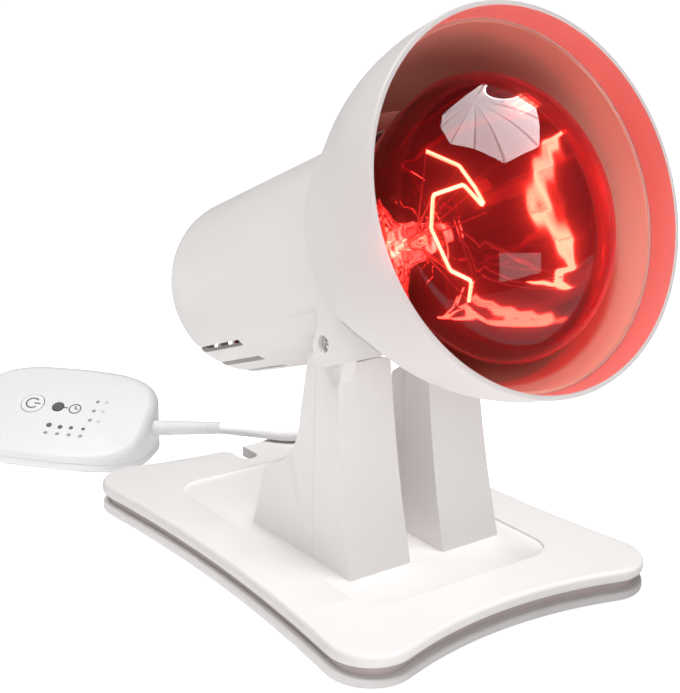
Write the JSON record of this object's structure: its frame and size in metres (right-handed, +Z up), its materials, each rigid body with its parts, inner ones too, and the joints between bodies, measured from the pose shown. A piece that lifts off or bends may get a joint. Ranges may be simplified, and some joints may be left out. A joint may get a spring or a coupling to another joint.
{
  "type": "infrared heat therapy lamp",
  "caption": "Table infrared heat lamp: bell shade with a ruby reflector bulb on a head that tilts between two towers, a weighted base and a corded handset.",
  "frame": {"origin": "middle of the base, on the plane of its feet", "axes": "+Z up, -Y towards the front where the light leaves, +X to the lamp's own left"},
  "size_m": [0.212, 0.2978, 0.2028],
  "materials": {
    "housing_plastic": "satin",
    "handset_plastic": "satin",
    "steel_plate": "zinc plated",
    "rubber": "matte",
    "screw_steel": "zinc plated",
    "washer_nylon": "matte",
    "heat_shield_enamel": "satin",
    "ceramic": "glazed",
    "brass": "plain",
    "ruby_glass": "polished",
    "clear_glass": "polished",
    "filament": "drawn wire",
    "black_glass": "polished",
    "button_plastic": "satin",
    "button_dark": "matte",
    "lens_plastic": "clear",
    "board": "solder mask",
    "lead_sheath": "satin",
    "wire_red": "silicone sleeve"
  },
  "bodies": {
    "base": {"base_cover": "housing_plastic", "base_tray": "housing_plastic", "ballast_plate": "steel_plate", "rubber_feet": "rubber", "base_screws": "screw_steel", "tower_screws": "screw_steel", "tower_front_left": "housing_plastic", "tower_front_right": "housing_plastic", "tower_rear_left": "housing_plastic", "tower_rear_right": "housing_plastic", "tower_cover_screws": "screw_steel", "pivot_screws": "screw_steel", "pivot_washers": "washer_nylon", "pivot_nuts": "screw_steel", "handset_bottom": "handset_plastic", "handset_top": "handset_plastic", "indicator_lenses": "lens_plastic", "circuit_board": "board", "button_switches": "button_dark", "relay": "button_dark", "handset_screws": "screw_steel", "handset_relief": "lead_sheath", "mains_inlet_gland": "lead_sheath", "base_relief": "lead_sheath", "lead_handset_side": "lead_sheath", "lead_coil": "lead_sheath", "lead_base_side": "lead_sheath", "base_wire": "wire_red"},
    "head": {"head_housing": "housing_plastic", "shade": "housing_plastic", "heat_shield": "heat_shield_enamel", "lamp_holder": "ceramic", "holder_shell": "brass", "centre_contact": "brass", "holder_bracket": "steel_plate", "holder_screws": "screw_steel", "terminal_screws": "brass", "bulb_glass": "ruby_glass", "bulb_stem": "clear_glass", "bulb_filament": "filament", "filament_supports": "filament", "bulb_cap": "brass", "cap_insulator": "black_glass", "cap_contact": "brass", "head_wires": "wire_red"},
    "power": {"power_button": "button_plastic"},
    "timer": {"timer_button": "button_dark"}
  },
  "joints": [
    {"name": "head_tilt", "type": "hinge", "parent": "base", "child": "head", "pos_m": [0, -0.02552, 0.09122], "axis": [1, 0, 0], "range_deg": [-10, 32]},
    {"name": "power_press", "type": "slide", "parent": "base", "child": "power", "axis": [0.3596, 0.3018, -0.8829], "range_m": [0, 0.0006], "stiffness_N_per_m": 600},
    {"name": "timer_press", "type": "slide", "parent": "base", "child": "timer", "axis": [0.3596, 0.3018, -0.8829], "range_m": [0, 0.0006], "stiffness_N_per_m": 600}
  ]
}
